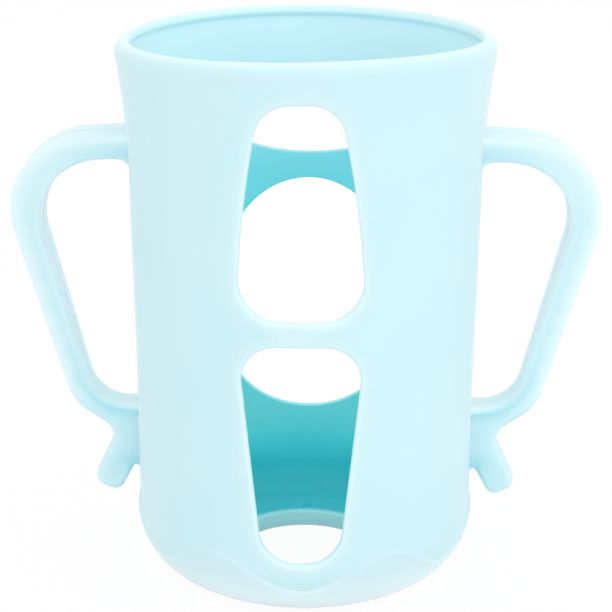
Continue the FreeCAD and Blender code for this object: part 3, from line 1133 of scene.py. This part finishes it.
def silicone(name, colour, thin, deep):
    """Satin silicone: cloudy patches, painted light and painted shade mixed in point by point, and a fine
    grain.

    The colour is one all over, or a list of stops by height.
    """
    material = bpy.data.materials.new(name)
    material.use_nodes = True
    tree = material.node_tree
    shader = tree.nodes["Principled BSDF"]
    place = tree.nodes.new("ShaderNodeTexCoord").outputs["Object"]
    base = height_colour(tree, place, colour) if isinstance(colour, list) else srgb(*colour)
    cloud = map_range(tree, noise(tree, place, cloud_scale, cloud_detail), *cloud_band, 0, cloud_strength)
    base = link_mix(tree, cloud, base, cloud_tone, "MULTIPLY")
    # Painted light and painted shade, mixed in by each point's shares
    for attribute, tint_colour in (("thin", thin), ("deep", deep)):
        tint = tree.nodes.new("ShaderNodeAttribute")
        tint.attribute_name = attribute
        base = link_mix(tree, tint.outputs["Fac"], base, srgb(*tint_colour))
    tree.links.new(base, shader.inputs["Base Color"])
    gloss = map_range(tree, noise(tree, place, gloss_scale, gloss_detail), *gloss_band, *roughness)
    tree.links.new(gloss, shader.inputs["Roughness"])
    bump = tree.nodes.new("ShaderNodeBump")
    bump.inputs["Strength"].default_value = grain_strength
    bump.inputs["Distance"].default_value = grain_height * MM
    tree.links.new(noise(tree, place, grain_scale, grain_detail), bump.inputs["Height"])
    tree.links.new(bump.outputs["Normal"], shader.inputs["Normal"])
    shader.inputs["Specular IOR Level"].default_value = specular_level
    shader.inputs["Sheen Weight"].default_value = sheen
    shader.inputs["Sheen Roughness"].default_value = sheen_roughness
    return material


def seen_ray(tree):
    """1 for rays from the camera, off gloss or through glass."""
    path = tree.nodes.new("ShaderNodeLightPath")
    total = path.outputs["Is Camera Ray"]
    for name in ("Is Glossy Ray", "Is Transmission Ray"):
        either = tree.nodes.new("ShaderNodeMath")
        either.operation = "MAXIMUM"
        tree.links.new(total, either.inputs[0])
        tree.links.new(path.outputs[name], either.inputs[1])
        total = either.outputs[0]
    return total


def floor_piece():
    """A wide pale floor that looks white and keeps a soft shadow."""
    half = floor_half_width * MM
    mesh = bpy.data.meshes.new("floor")
    corners = [(-half, -half, 0), (half, -half, 0), (half, half, 0), (-half, half, 0)]
    mesh.from_pydata(corners, [], [(0, 1, 2, 3)])
    floor = bpy.data.objects.new("floor", mesh)
    bpy.context.scene.collection.objects.link(floor)
    material = bpy.data.materials.new("floor_white")
    material.use_nodes = True
    tree = material.node_tree
    shader = tree.nodes["Principled BSDF"]
    shader.inputs["Base Color"].default_value = floor_tone
    shader.inputs["Roughness"].default_value = 1.0
    shader.inputs["Specular IOR Level"].default_value = 0.0
    glow = tree.nodes.new("ShaderNodeEmission")
    share = map_range(tree, seen_ray(tree), 0, 1, 0, floor_glow)
    mix = tree.nodes.new("ShaderNodeMixShader")
    tree.links.new(share, mix.inputs["Fac"])
    tree.links.new(shader.outputs["BSDF"], mix.inputs[1])
    tree.links.new(glow.outputs["Emission"], mix.inputs[2])
    tree.links.new(mix.outputs["Shader"], tree.nodes["Material Output"].inputs["Surface"])
    mesh.materials.append(material)


def world_light():
    """Even white light from all round, seen as plain white."""
    world = bpy.data.worlds.new("studio")
    bpy.context.scene.world = world
    world.use_nodes = True
    tree = world.node_tree
    sky = tree.nodes["Background"]
    sky.inputs["Color"].default_value = (1, 1, 1, 1)
    tree.links.new(map_range(tree, seen_ray(tree), 0, 1, sky_strength, 1), sky.inputs["Strength"])


def softbox(name, place, aim, width, height, power):
    """A large soft lamp that faces a point."""
    lamp = bpy.data.lights.new(name, "AREA")
    lamp.shape = "RECTANGLE"
    lamp.size = width * MM
    lamp.size_y = height * MM
    lamp.energy = power
    obj = bpy.data.objects.new(name, lamp)
    obj.location = Vector(place) * MM
    obj.rotation_euler = (Vector(aim) - Vector(place)).to_track_quat("-Z", "Y").to_euler()
    bpy.context.scene.collection.objects.link(obj)


def camera():
    """The photograph's view, a little above the mouth."""
    data = bpy.data.cameras.new("camera")
    data.sensor_width = sensor_width
    data.lens = focal_pixels / image_pixels * sensor_width
    data.shift_x = (image_pixels / 2 - axis_pixel) / image_pixels
    data.clip_start = nearest_seen * MM
    data.clip_end = furthest_seen * MM
    obj = bpy.data.objects.new("camera", data)
    obj.matrix_world = (
        Matrix.Rotation(camera_yaw, 4, "Z")
        @ Matrix.Translation(Vector((0, -camera_distance, camera_height)) * MM)
        @ Matrix.Rotation(math.pi / 2 - camera_pitch, 4, "X")
        @ Matrix.Rotation(camera_roll, 4, "Z")
    )
    bpy.context.scene.collection.objects.link(obj)
    bpy.context.scene.camera = obj


# Materials
sleeve_outside = silicone("sleeve_outside", sleeve_colour, painted_light_colour, painted_shade_colour)
# The inside: the same silicone, darkened by painted shade towards the floor and paled by painted light
# towards the mouth
sleeve_inside = silicone("sleeve_inside", inside_colours_with_painted_shade, inside_painted_light_colour, inside_painted_shade_colour)
base_outside = silicone("base_outside", base_colour, painted_light_colour, painted_shade_colour)
handle_outside = silicone("handle_outside", handle_colour, painted_light_colour, painted_shade_colour)

# Pieces
for piece, node in (
    (rim_piece([sleeve_outside, sleeve_inside]), "rim_bead"),
    (wall_piece([sleeve_outside, sleeve_inside]), "sleeve_wall"),
    (cup_piece([sleeve_outside, sleeve_inside]), "base_cup"),
    (boot_piece([base_outside]), "base_boot"),
    (pip_piece([sleeve_inside]), "floor_pips"),
):
    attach(piece, "sleeve")
    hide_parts(node)
for side, mirror in (("right", 1), ("left", -1)):
    loop = handle_piece(f"{side}_handle_skin", mirror, [handle_outside])
    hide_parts(f"{side}_handle", f"{side}_tab")

# Stage
floor_piece()
world_light()
for name, settings in softboxes.items():
    softbox(name, **settings)
camera()
bpy.context.scene.view_settings.view_transform = "Standard"
